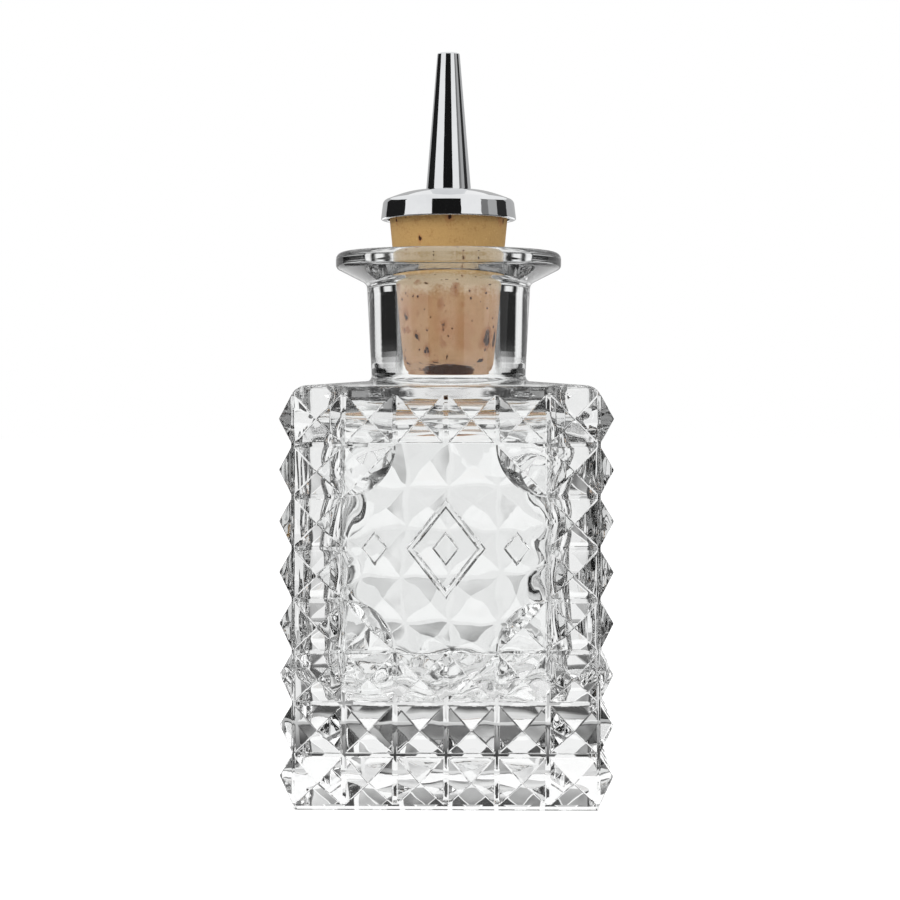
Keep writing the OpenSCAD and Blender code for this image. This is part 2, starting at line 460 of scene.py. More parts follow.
@dataclass(frozen=True)
class ClearGlass:
    """Clear moulded glass, fire polished."""

    pale: Colour = (0.992, 0.995, 0.994, 1.0)
    deep: Colour = (0.965, 0.975, 0.972, 1.0)
    ior: float = 1.5
    ripple: float = 0.00012
    ripple_scale: float = 190.0
    panel_share: float = 0.2

    def make(self, shared: SharedEffects) -> bpy.types.Material:
        """Makes the material.

        Args:
            shared: Node groups that the finishes share.

        Returns:
            The material.
        """
        made, bench = new_material("clear_glass")
        where = bench.place()
        patches = bench.put("ShaderNodeGroup", {}, node_tree=shared.mottle)
        bench.tree.links.new(where, patches.inputs["Vector"])
        patches.inputs["Scale"].default_value, patches.inputs["Fine"].default_value = self.ripple_scale, 0.15
        wear = bench.put("ShaderNodeGroup", {}, node_tree=shared.hairlines)
        bench.tree.links.new(where, wear.inputs["Vector"])
        wear.inputs["Amount"].default_value = 0.03
        colour = bench.blend(patches.outputs[0], self.pale, self.deep)
        rough = bench.sum("ADD", bench.span(patches.outputs[0], 0.55, 1.0, 0.0, 0.012), wear.outputs[0])
        ripple = bench.put("ShaderNodeTexNoise", {"Vector": where, "Scale": self.ripple_scale, "Detail": 1.0, "Roughness": 0.4})
        height = bench.sum("MULTIPLY", ripple.outputs["Fac"], self._studded(bench, where))
        bump = bench.put("ShaderNodeBump", {"Strength": 1.0, "Distance": self.ripple, "Height": height})
        shader = bench.put(
            "ShaderNodeBsdfPrincipled",
            {"Base Color": colour, "Roughness": rough, "IOR": self.ior, "Transmission Weight": 1.0, "Metallic": 0.0, "Normal": bump.outputs[0]},
        )
        bench.put("ShaderNodeOutputMaterial", {"Surface": shader.outputs[0]})
        return made


    def _studded(self, bench: Bench, where: bpy.types.NodeSocket) -> bpy.types.NodeSocket:
        """Gives the share of the mould's ripple: whole on the studs, little on the panel and the turned neck.

        Args:
            bench: Bench of the glass's tree.
            where: Object coordinates.

        Returns:
            The share's socket.
        """
        part = bench.put("ShaderNodeSeparateXYZ", {0: where}).outputs
        across = [bench.sum("ABSOLUTE", part[axis], 0.0) for axis in ("X", "Y")]
        outside = bench.span(bench.sum("MAXIMUM", *across), 0.0268, 0.0272, self.panel_share, 1.0)
        return bench.sum("MULTIPLY", outside, bench.span(part["Z"], 0.072, 0.075, 1.0, 0.4))


@dataclass(frozen=True)
class NaturalCork:
    """Natural cork, fine sanded, with pits and lenticels."""

    tan: Colour = (0.485, 0.301, 0.114, 1.0)
    pale: Colour = (0.60, 0.395, 0.165, 1.0)
    brown: Colour = (0.36, 0.19, 0.065, 1.0)
    pit: Colour = (0.05, 0.018, 0.008, 1.0)
    blush: Colour = (0.42, 0.17, 0.07, 1.0)
    stained: Colour = (0.66, 0.39, 0.225, 1.0)
    stain: tuple[float, float] = (0.099, 0.094)
    rubbed: Colour = (0.80, 0.67, 0.47, 1.0)
    patch: Colour = (0.50, 0.215, 0.095, 1.0)
    # painted shade: near black brown for the wall of the stem's hole, where light does not reach
    painted_bore_shade: Colour = (0.11, 0.04, 0.018, 1.0)
    bore: float = 0.0048
    holes: tuple[tuple[float, float, float, float, float, float], ...] = (
        (290.0, 0.6, 25.0, 0.3, 0.4, 0.8),
        (560.0, 0.5, -40.0, 0.55, 0.36, 0.65),
        (1200.0, 0.8, 10.0, 0.64, 0.3, 0.4),
    )

    @staticmethod
    def _holes(
        bench: Bench, grow: bpy.types.NodeSocket, scale: float, stretch: float, lean: float, least: float, size: float
    ) -> tuple[bpy.types.NodeSocket, bpy.types.NodeSocket]:
        """Scatters ragged holes of one size.

        Args:
            bench: Bench of the cork's tree.
            grow: Share of the holes' full size.
            scale: Cells in a metre; some hold a hole.
            stretch: Scale along the holes' long way.
            lean: Lean of that way in degrees.
            least: Share of the cells without a hole.
            size: Radius of the largest hole in cells.

        Returns:
            Masks of the holes and of the stained cork round them.
        """
        long_way = bench.place(scale=(1.0, 1.0, stretch), turn=(lean, lean * 0.7, 0.0))
        warp = bench.put("ShaderNodeTexNoise", {"Vector": long_way, "Scale": scale * 2.2, "Detail": 3.0})
        bent = bench.put("ShaderNodeVectorMath", {0: warp.outputs["Color"], "Scale": 0.55 / scale}, operation="SCALE")
        moved = bench.put("ShaderNodeVectorMath", {0: long_way, 1: bent.outputs[0]}, operation="ADD")
        spots = bench.put("ShaderNodeTexVoronoi", {"Vector": moved.outputs[0], "Scale": scale, "Randomness": 1.0})
        chance = bench.put("ShaderNodeSeparateColor", {0: spots.outputs["Color"]})
        room = bench.sum("MULTIPLY", bench.span(chance.outputs[0], least, 1.0, 0.0, size), grow)
        spot = bench.span(bench.sum("SUBTRACT", room, spots.outputs["Distance"]), 0.0, 0.05)
        halo = bench.span(bench.sum("SUBTRACT", bench.sum("MULTIPLY", room, 1.9), spots.outputs["Distance"]), 0.0, 0.2)
        return spot, halo

    def make(self, shared: SharedEffects) -> bpy.types.Material:
        """Makes the material.

        Args:
            shared: Node groups that the finishes share.

        Returns:
            The material.
        """
        made, bench = new_material("natural_cork")
        where = bench.place()
        grain = bench.put("ShaderNodeGroup", {}, node_tree=shared.mottle)
        bench.tree.links.new(where, grain.inputs["Vector"])
        grain.inputs["Scale"].default_value, grain.inputs["Fine"].default_value = 420.0, 0.5
        cells = bench.put("ShaderNodeTexVoronoi", {"Vector": where, "Scale": 2600.0})
        colour = bench.ramp(grain.outputs[0], [(0.0, self.brown), (0.38, self.tan), (0.7, self.tan), (1.0, self.pale)])
        colour = bench.blend(bench.span(cells.outputs["Distance"], 0.2, 0.7, 0.0, 0.16), colour, self.brown)
        part = bench.put("ShaderNodeSeparateXYZ", {0: where}).outputs
        level = bench.sum("ADD", part["Z"], bench.span(grain.outputs[0], 0.0, 1.0, -0.0015, 0.0015))
        stained = bench.sum("MULTIPLY", bench.span(level, *self.stain), bench.span(grain.outputs[0], 0.0, 1.0, 0.5, 0.95))
        colour = bench.blend(stained, colour, self.stained)
        patch = bench.put("ShaderNodeTexNoise", {"Vector": where, "Scale": 150.0, "Detail": 4.0, "Roughness": 0.65})
        soak = bench.sum("MULTIPLY", bench.span(patch.outputs["Fac"], 0.46, 0.66, 0.0, 0.55), stained)
        colour = bench.blend(soak, colour, self.patch)
        grow = bench.span(level, *self.stain, 0.55, 1.0)
        squeezed = bench.sum("MULTIPLY", bench.span(level, 0.0915, 0.0935), bench.span(level, 0.1, 0.0985, 0.0, 0.7))
        colour = bench.blend(squeezed, colour, self.rubbed)
        flat = bench.put("ShaderNodeCombineXYZ", {0: part["X"], 1: part["Y"]})
        radius = bench.put("ShaderNodeVectorMath", {0: flat.outputs[0]}, operation="LENGTH").outputs["Value"]
        # painted shade mask: 1 on the cork within the bore's radius (the hole's wall and the rims beside it), 0 beyond
        inside = bench.span(radius, self.bore, self.bore + 0.0003, 1.0, 0.0)
        pit = None
        for scale, stretch, lean, least, size, red in self.holes:
            spot, halo = self._holes(bench, grow, scale, stretch, lean, least, size)
            colour = bench.blend(bench.sum("MULTIPLY", halo, red), colour, self.blush)
            colour = bench.blend(spot, colour, self.pit)
            pit = spot if pit is None else bench.sum("MAXIMUM", pit, spot)
        # painted shade: darkens the hole's wall to near black brown
        colour = bench.blend(inside, colour, self.painted_bore_shade)
        height = bench.sum("SUBTRACT", bench.sum("MULTIPLY", grain.outputs[0], 0.12), pit)
        height = bench.sum("SUBTRACT", height, bench.sum("MULTIPLY", cells.outputs["Distance"], 0.1))
        bump = bench.put("ShaderNodeBump", {"Strength": 0.8, "Distance": 0.00025, "Height": height})
        rough = bench.span(grain.outputs[0], 0.0, 1.0, 0.72, 0.9)
        shader = bench.put("ShaderNodeBsdfPrincipled", {"Base Color": colour, "Roughness": rough, "Specular IOR Level": 0.3, "Normal": bump.outputs[0]})
        bench.put("ShaderNodeOutputMaterial", {"Surface": shader.outputs[0]})
        return made


@dataclass(frozen=True)
class BareMetal:
    """Metal with smudges and hairlines; plated and polished, or turned with tool rings."""

    name: str
    bright: Colour
    dull: Colour
    smooth: float
    rough: float
    scratch: float
    ring: float = 0.0
    dent: float = 1.2

    def make(self, shared: SharedEffects) -> bpy.types.Material:
        """Makes the material.

        Args:
            shared: Node groups that the finishes share.

        Returns:
            The material.
        """
        made, bench = new_material(self.name)
        where = bench.place()
        smudge = bench.put("ShaderNodeGroup", {}, node_tree=shared.mottle)
        bench.tree.links.new(where, smudge.inputs["Vector"])
        smudge.inputs["Scale"].default_value, smudge.inputs["Fine"].default_value = 160.0, 0.3
        lines = bench.put("ShaderNodeGroup", {}, node_tree=shared.hairlines)
        bench.tree.links.new(where, lines.inputs["Vector"])
        lines.inputs["Amount"].default_value = self.scratch
        colour = bench.blend(smudge.outputs[0], self.bright, self.dull)
        rough = bench.sum("ADD", bench.span(smudge.outputs[0], 0.0, 1.0, self.smooth, self.rough), lines.outputs[0])
        dents = bench.put("ShaderNodeTexNoise", {"Vector": where, "Scale": 520.0, "Detail": 1.0})
        height = bench.sum("SUBTRACT", bench.sum("MULTIPLY", dents.outputs["Fac"], self.dent), lines.outputs[0])
        if self.ring:
            rings = bench.put("ShaderNodeTexWave", {"Vector": where, "Scale": 1100.0, "Distortion": 0.6, "Detail": 2.0}, bands_direction="Z")
            height = bench.sum("ADD", height, bench.sum("MULTIPLY", rings.outputs["Fac"], self.ring))
            rough = bench.sum("ADD", rough, bench.sum("MULTIPLY", rings.outputs["Fac"], 0.08))
        bump = bench.put("ShaderNodeBump", {"Strength": 0.5, "Distance": 0.00002, "Height": height})
        shader = bench.put("ShaderNodeBsdfPrincipled", {"Base Color": colour, "Metallic": 1.0, "Roughness": rough, "Normal": bump.outputs[0]})
        bench.put("ShaderNodeOutputMaterial", {"Surface": shader.outputs[0]})
        return made


CHROME = BareMetal("mirror_chrome", (0.80, 0.81, 0.82, 1.0), (0.72, 0.73, 0.745, 1.0), 0.015, 0.06, 0.08)
STEEL = BareMetal("turned_steel", (0.62, 0.62, 0.63, 1.0), (0.48, 0.48, 0.49, 1.0), 0.2, 0.34, 0.1, 0.6)


# ---------------------------------------------------------------- the glass bottle


@dataclass
class StuddedBottle:
    """The moulded glass bottle: studded block, plain panel, cushion shoulder, turned neck and lip."""

    half: float = 27.0
    columns: int = 6
    rows: int = 8
    foot: float = 0.8
    field: float = 72.8
    stud: float = 2.8
    valley: float = 0.44
    edge_round: float = 0.16
    shoulder_x: float = 24.445
    shoulder_z: float = 72.03
    shoulder_round: float = 3.0
    stud_slope: float = 31.6
    roof_slope: float = 4.42
    panel_half_x: float = 18.0
    panel_half_z: float = 18.2
    panel_z: float = 46.3
    panel_y: float = -26.9
    corner_round: float = 9.0
    corner_crest: float = 6.6
    lozenge: Point = (7.0, 9.0)
    lozenge_line: float = 1.2
    lozenge_height: float = 0.5
    lozenge_flank: float = 0.36
    small_share: float = 0.34
    cavity_half: float = 22.0
    cavity_foot: float = 19.5
    cavity_top: float = 70.8
    cavity_round: float = 4.5
    wave: float = 0.22
    corner_wave: float = 1.5
    foot_wave: float = 1.3
    bore: float = 9.86
    throat: Point = (6.5, 14.0)
    seat_z: float = 92.5
    mouth: float = 10.54
    mouth_z: float = 99.1
    lip_top: float = 99.9
    lip: float = 21.11

    def build(self, finish: bpy.types.Material) -> bpy.types.Object:
        """Builds the bottle and hangs it on its body.

        Args:
            finish: The glass.

        Returns:
            The finished piece.
        """
        piece = self._block().thing()
        work(piece, self._panel_cutter(), Cut.TAKE_AWAY)
        for tool in self._ornament():
            work(piece, tool, Cut.JOIN)
        work(piece, self._neck().thing(), Cut.JOIN)
        work(piece, self._punt().thing(), Cut.TAKE_AWAY)
        inside = self._cavity().thing()
        work(inside, self._bore().thing(), Cut.JOIN)
        work(piece, inside, Cut.TAKE_AWAY)
        finish_piece(piece, Body.BOTTLE, "glass_bottle", finish)
        return piece

    def _block(self) -> Shape:
        """Shapes the studded block with its foot, its shoulder and its low roof."""
        shape = Shape("moulded_bottle").block((-self.half, -self.half, self.foot), (self.half, self.half, self.foot + self.field))
        bm = shape.bm
        bmesh.ops.delete(bm, geom=[f for f in bm.faces if abs(f.normal.z) > 0.5], context="FACES_ONLY")
        for axis in (0, 1):
            for i in range(1, self.columns):
                normal, place = Vector(), Vector()
                normal[axis], place[axis] = 1.0, self.half * (2 * i / self.columns - 1)
                bmesh.ops.bisect_plane(bm, geom=bm.verts[:] + bm.edges[:] + bm.faces[:], plane_co=place, plane_no=normal)
        for i in range(1, self.rows):
            place = Vector((0, 0, self.foot + self.field * i / self.rows))
            bmesh.ops.bisect_plane(bm, geom=bm.verts[:] + bm.edges[:] + bm.faces[:], plane_co=place, plane_no=(0, 0, 1))
        bmesh.ops.poke(bm, faces=bm.faces[:], offset=self.stud, center_mode="MEAN")
        shape.soften([e for e in bm.edges if e.is_manifold and not self._is_ridge(e)], self.valley, 1)
        shape.soften([e for e in bm.edges if e.is_manifold and e.calc_face_angle(0.0) > 0.1], self.edge_round)
        top = [e for e in bm.edges if e.is_boundary and min(v.co.z for v in e.verts) > self.foot + self.field / 2]
        bottom = [e for e in bm.edges if e.is_boundary and e not in top]
        rise = arc(self.shoulder_x, self.shoulder_z, self.shoulder_round, self.stud_slope, 90 - self.roof_slope, 10)
        inner = 10.0
        rise = rise[1:] + [(inner, rise[-1][1] + (rise[-1][0] - inner) * math.tan(math.radians(self.roof_slope)))]
        self._raise_rings(bm, top, rise)
        foot = [(self.half, self.foot * 0.6)] + arc(self.half - 0.4, 0.4, 0.4, 0, -90, 5)
        self._raise_rings(bm, bottom, foot)
        return shape.outward()

    def _is_ridge(self, edge: bmesh.types.BMEdge) -> bool:
        """Tells whether an edge runs up to the point of a stud."""
        return max(max(abs(v.co.x), abs(v.co.y)) for v in edge.verts) > self.half + self.stud / 2

    @staticmethod
    def _raise_rings(bm: bmesh.types.BMesh, edges: list[bmesh.types.BMEdge], rings: list[Point]) -> None:
        """Draws a square rim out through a row of square rings and closes the last one.

        Args:
            bm: The mesh.
            edges: Edges of the open rim.
            rings: Half width and height of each ring.
        """
        for half, z in rings:
            drawn = bmesh.ops.extrude_edge_only(bm, edges=edges)["geom"]
            edges = [g for g in drawn if isinstance(g, bmesh.types.BMEdge)]
            for vert in {v for e in edges for v in e.verts}:
                k = half / max(abs(vert.co.x), abs(vert.co.y))
                vert.co = Vector((vert.co.x * k, vert.co.y * k, z))
        bmesh.ops.holes_fill(bm, edges=edges, sides=0)

    def _panel_cutter(self) -> bpy.types.Object:
        """Shapes the panel's outline: a block less a quarter round at each corner, which leans back over its stud."""
        lean = (self.corner_round - self.corner_crest) / self.stud
        base, reach = self.corner_round + lean * (self.panel_y + self.half), 10.0
        x, z = self.panel_half_x, self.panel_half_z
        cutter = Shape("panel_cutter").block((-x, -self.half - 6, self.panel_z - z), (x, self.panel_y, self.panel_z + z)).thing()
        for sx in (-1, 1):
            for sz in (-1, 1):
                post = Shape("post")
                bmesh.ops.create_cone(
                    post.bm, cap_ends=True, cap_tris=False, segments=128, radius1=base + lean * reach, radius2=base - lean * reach, depth=2 * reach,
                    matrix=Matrix.Translation((sx * x, -self.half, self.panel_z + sz * z)) @ Matrix.Rotation(math.pi / 2, 4, "X"),
                )
                for face in post.bm.faces:
                    face.smooth = len(face.verts) == 4
                work(cutter, post.thing(), Cut.TAKE_AWAY)
        return cutter

    def _ornament(self) -> list[bpy.types.Object]:
        """Shapes the raised lozenges: an open one with a small one inside it and one at each side."""
        x, z = self.lozenge
        side = (x + self.panel_half_x) / 2
        small = self.small_share
        return [self._lozenge(0.0, x, z, self.lozenge_line)] + [self._lozenge(at, x * small, z * small, 0.0) for at in (-side, 0.0, side)]

    def _lozenge(self, at: float, x: float, z: float, line: float) -> bpy.types.Object:
        """Shapes one raised lozenge.

        Args:
            at: Place along X.
            x: Half width.
            z: Half height.
            line: Width of its line, or 0 for a solid one.

        Returns:
            The solid to join to the panel.
        """
        shape = Shape("lozenge")
        bm = shape.bm
        root = 1.2
        bmesh.ops.create_circle(bm, cap_ends=True, segments=4, radius=1.0)
        bmesh.ops.scale(bm, vec=(x, z, 1), verts=bm.verts)
        if line:
            inner = bmesh.ops.inset_region(bm, faces=bm.faces[:], thickness=line, use_boundary=True, use_even_offset=True)
            bmesh.ops.delete(bm, geom=[f for f in bm.faces if f not in inner["faces"]], context="FACES_ONLY")
        drawn = bmesh.ops.extrude_face_region(bm, geom=bm.faces[:])["geom"]
        raised = [g for g in drawn if isinstance(g, bmesh.types.BMVert)]
        bmesh.ops.translate(bm, vec=(0, 0, root), verts=raised)
        shape.outward()
        top = [f for f in bm.faces if f.normal.z > 0.9]
        bmesh.ops.inset_region(bm, faces=top, thickness=self.lozenge_flank, depth=self.lozenge_height, use_even_offset=True)
        crest = [e for e in bm.edges if min(v.co.z for v in e.verts) > root + 0.9 * self.lozenge_height and e.calc_face_angle(0) > 0.5]
        shape.soften(crest, 0.1, 2)
        bmesh.ops.transform(
            bm, verts=bm.verts,
            matrix=Matrix.Translation((at, self.panel_y + root, self.panel_z)) @ Matrix.Rotation(math.pi / 2, 4, "X"),
        )
        return shape.outward().thing()

    def _neck(self) -> Shape:
        """Turns the neck, the flare and the lip."""
        foot, fillet, under = 14.46, 1.2, 96.5
        slope = math.radians(30.0)
        corner = 1.05
        low = (self.lip - corner, under + 0.95)
        profile = [(0.0, 73.3), (foot + fillet, 73.3)]
        profile += arc(foot + fillet, 75.71 + fillet, fillet, 270, 180, 8)
        profile += [(15.28, 93.0)] + arc(15.28 + 1.5, 93.1, 1.5, 180, 180 - 60, 6)
        profile += arc(low[0], low[1] + 0.15, corner, -60, 0, 7)
        profile += arc(self.lip - 1.3, self.lip_top - 1.3, 1.3, 0, 90, 9)
        profile += [(0.0, self.lip_top)]
        del slope
        return Shape("neck").turn(profile).smooth(40)

    def _punt(self) -> Shape:
        """Turns the shallow hollow under the base."""
        radius, depth = 20.0, 0.8
        ball = (radius * radius + depth * depth) / (2 * depth)
        rim = [(radius * i / 12, depth - ball + math.sqrt(ball * ball - (radius * i / 12) ** 2)) for i in range(13)]
        return Shape("punt").turn(rim + [(radius, -1.0), (0.0, -1.0)], steps=128).smooth(40)

    def _cavity(self) -> Shape:
        """Shapes the cavity as a box with round edges, and gives its wall the waves of blown glass."""
        foot, top = self.cavity_foot, self.cavity_top
        size = self.cavity_half
        shape = Shape("cavity").block((-size, -size, foot), (size, size, top))
        bmesh.ops.subdivide_edges(shape.bm, edges=shape.bm.edges[:], cuts=47, use_grid_fill=True)
        centre = Vector((0, 0, (foot + top) / 2))
        core = Vector((size, size, (top - foot) / 2)) - Vector((1, 1, 1)) * self.cavity_round
        for vert in shape.bm.verts:
            p = vert.co - centre
            near = Vector(max(-c, min(c, a)) for a, c in zip(p, core))
            out = (p - near).normalized()
            place = near + out * self.cavity_round
            calm = max(0.0, min(1.0, (top - centre.z - place.z - 0.2) / 6.0))
            broad = noise.noise(place * 0.11 + Vector((3.1, 7.7, 1.3)))
            small = noise.noise(place * 0.33 + Vector((9.4, 2.2, 5.8)))
            edge = max(0.0, min(1.0, (min(abs(place.x), abs(place.y)) - 14.0) / 5.0))
            swell = noise.noise(Vector((place.x * 0.04, place.y * 0.04, place.z * 0.19)) + Vector((6.2, 1.9, 4.4)))
            low = max(0.0, min(1.0, (foot + 10.0 - centre.z - place.z) / 7.0))
            rough = noise.noise(place * 0.24 + Vector((2.7, 5.1, 8.3)))
            waves = self.wave * (broad + 0.35 * small) + self.corner_wave * edge * swell + self.foot_wave * low * rough
            vert.co = centre + place + out * calm * waves
        return shape.outward().smooth(80)

    def _bore(self) -> Shape:
        """Turns the throat, the bore, the cork's tapered seat and the mouth."""
        wide, high = self.throat
        r, z = self.bore, self.cavity_top
        throat = [
            (r + wide * (1 - math.sin(a)), z - 0.03 + high * (1 - math.cos(a)))
            for a in (math.pi / 2 * i / 20 for i in range(21))
        ]
        profile = [(0.0, z - 3.0), (r + wide, z - 3.0)] + throat
        profile += [(r, self.seat_z)]
        profile += arc(self.mouth + 0.8, self.mouth_z, 0.8, 180, 90, 8)
        profile += [(self.mouth + 0.8, self.lip_top + 2.0), (0.0, self.lip_top + 2.0)]
        return Shape("bore").turn(profile).smooth(40)


# ---------------------------------------------------------------- the cork


@dataclass
class CorkStopper:
    """The tapered cork with the hole that takes the stem."""

    foot_z: float = 79.7
    top_z: float = 107.5
    foot_r: float = 8.5
    top_r: float = 11.35
    hole: float = 4.4
    collar: Point = (6.05, 0.8)

    def build(self, finish: bpy.types.Material) -> bpy.types.Object:
        """Builds the cork and hangs it on its body.

        Args:
            finish: The cork.

        Returns:
            The finished piece.
        """
        collar_r, collar_h = self.collar
        taper = (self.top_r - self.foot_r) / (self.top_z - self.foot_z)
        profile = [(self.hole, self.foot_z + 0.25), (self.hole + 0.25, self.foot_z), (self.foot_r - 0.5, self.foot_z)]
        profile += [(self.foot_r - 0.15, self.foot_z + 0.16), (self.foot_r + taper * 0.5, self.foot_z + 0.5)]
        profile += [(self.top_r - 0.2, self.top_z - 0.2), (self.top_r - 0.35, self.top_z), (collar_r, self.top_z)]
        profile += [(collar_r, self.top_z - collar_h), (self.hole, self.top_z - collar_h), (self.hole, self.foot_z + 0.25)]
        piece = Shape("tapered_cork").turn(profile, steps=160).smooth(50).thing()
        finish_piece(piece, Body.STOPPER, "cork_stopper", finish)
        return piece


# ---------------------------------------------------------------- the dash head


@dataclass
class DashHead:
    """The metal head: domed cap, tapered spout, ribbed stem in the cork and the nozzle in the tip."""

    cap_z: float = 106.0
    cap_r: float = 12.65
    cap_top: float = 111.6
    recess: float = 11.5
    cork_top: float = 107.5
    spout_foot: float = 4.2
    spout_tip: float = 2.1
    tip_z: float = 137.2
    passage: float = 1.9
    spigot: float = 2.6
    spigot_z: float = 102.5
    stem_r: float = 4.0
    rib_r: float = 4.35
    stem_foot: float = 93.5
    ribs: int = 4
    rib_pitch: float = 2.64
    collar: Point = (6.0, 0.8)
    nozzle: float = 1.4
    hole: float = 0.8
    nozzle_z: tuple[float, float] = (132.8, 136.8)

    def build(self, plate: bpy.types.Material, turned: bpy.types.Material) -> list[bpy.types.Object]:
        """Builds the four pieces and hangs them on the head's body.

        Args:
            plate: The chrome of the cap and the spout.
            turned: The turned steel of the stem and the nozzle.

        Returns:
            The finished pieces.
        """
        made = []
        for shape, slot, node, finish in (
            (self._cap(), Slot.CHROME, "flange_cap", plate),
            (self._spout(), Slot.CHROME, "spout_tube", plate),
            (self._stem(), Slot.PLAIN_STEEL, "ribbed_stem", turned),
            (self._nozzle(), Slot.PLAIN_STEEL, "dash_nozzle", turned),
        ):
            piece = shape.smooth(40).thing()
            finish_piece(piece, Body.DASH_HEAD, node, finish)
            made.append(piece)
        return made

    def _cap(self) -> Shape:
        """Turns the domed cap with the recess that the cork seats in."""
        side_top, edge, dome = self.cap_r - 0.3, self.cap_r - 0.3 - 1.2, self.cap_z + 2.8 + 1.2
        profile = [(self.spigot, self.cork_top), (self.recess - 0.2, self.cork_top), (self.recess, self.cork_top - 0.2)]
        profile += arc(self.recess + 0.15, self.cap_z + 0.15, 0.15, 180, 270, 4)
        profile += arc(self.cap_r - 0.3, self.cap_z + 0.3, 0.3, 270, 360, 6)
        profile += arc(edge, self.cap_z + 2.8, side_top - edge, 0, 62, 10)
        last = profile[-1]
        reach = 24
        for i in range(1, reach + 1):
            t = i / reach
            r = last[0] + (self.spout_foot + 0.5 - last[0]) * t
            profile.append((r, last[1] + (self.cap_top - last[1]) * math.sin(math.pi / 2 * t)))
        del dome
        profile += [(self.spigot, self.cap_top), profile[0]]
        return Shape("domed_cap").turn(profile)

    def _spout(self) -> Shape:
        """Turns the tapered spout, its passage and the spigot below it."""
        profile = [(self.passage, self.spigot_z + 0.15), (self.passage + 0.15, self.spigot_z), (self.spigot - 0.15, self.spigot_z)]
        profile += [(self.spigot, self.spigot_z + 0.15), (self.spigot, self.cap_top)]
        profile += [(self.spout_foot + 0.12, self.cap_top), (self.spout_foot, self.cap_top + 0.12)]
        profile += arc(self.spout_tip - 0.3, self.tip_z - 0.3, 0.3, 5, 90, 6)
        profile += arc(self.nozzle + 0.12, self.tip_z - 0.12, 0.12, 90, 180, 3)
        profile += [(self.nozzle, self.nozzle_z[0]), (self.nozzle - 0.3, self.nozzle_z[0]), (self.passage, self.cap_top), profile[0]]
        return Shape("dash_spout").turn(profile)

    def _stem(self) -> Shape:
        """Turns the stem with its collar and its barbs."""
        top, (collar_r, collar_h) = self.cork_top, self.collar
        profile = [(self.passage, self.stem_foot), (self.stem_r - 0.4, self.stem_foot), (self.stem_r, self.stem_foot + 0.4)]
        for i in range(1, self.ribs + 1):
            z = self.stem_foot + i * self.rib_pitch
            profile += [(self.stem_r, z - 0.35), (self.rib_r - 0.06, z + 0.29), (self.rib_r, z + 0.4), (self.rib_r, z + 0.62)]
            profile += [(self.rib_r - 0.08, z + 0.7), (self.stem_r, z + 0.7)]
        profile += [(self.stem_r, top - collar_h), (collar_r - 0.1, top - collar_h), (collar_r, top - collar_h + 0.1)]
        profile += [(collar_r, top - 0.1), (collar_r - 0.1, top), (self.spigot, top), (self.spigot, self.spigot_z)]
        profile += [(self.passage, self.spigot_z), profile[0]]
        return Shape("barbed_stem").turn(profile, steps=128)

    def _nozzle(self) -> Shape:
        """Turns the insert with the dash hole."""
        low, high = self.nozzle_z
        profile = [(self.hole, low), (self.nozzle, low), (self.nozzle, high - 0.1), (self.nozzle - 0.1, high)]
        profile += [(self.hole + 0.2, high), (self.hole, high - 0.2), (self.hole, low)]
        return Shape("dash_nozzle_insert").turn(profile, steps=96)


# ---------------------------------------------------------------- the studio


@dataclass(frozen=True)
class Card:
    """A studio card: part of a round wall that shows in the metal and on the glass."""

    start: float
    end: float
    low: float
    high: float
    level: float
    near: float = 1.0


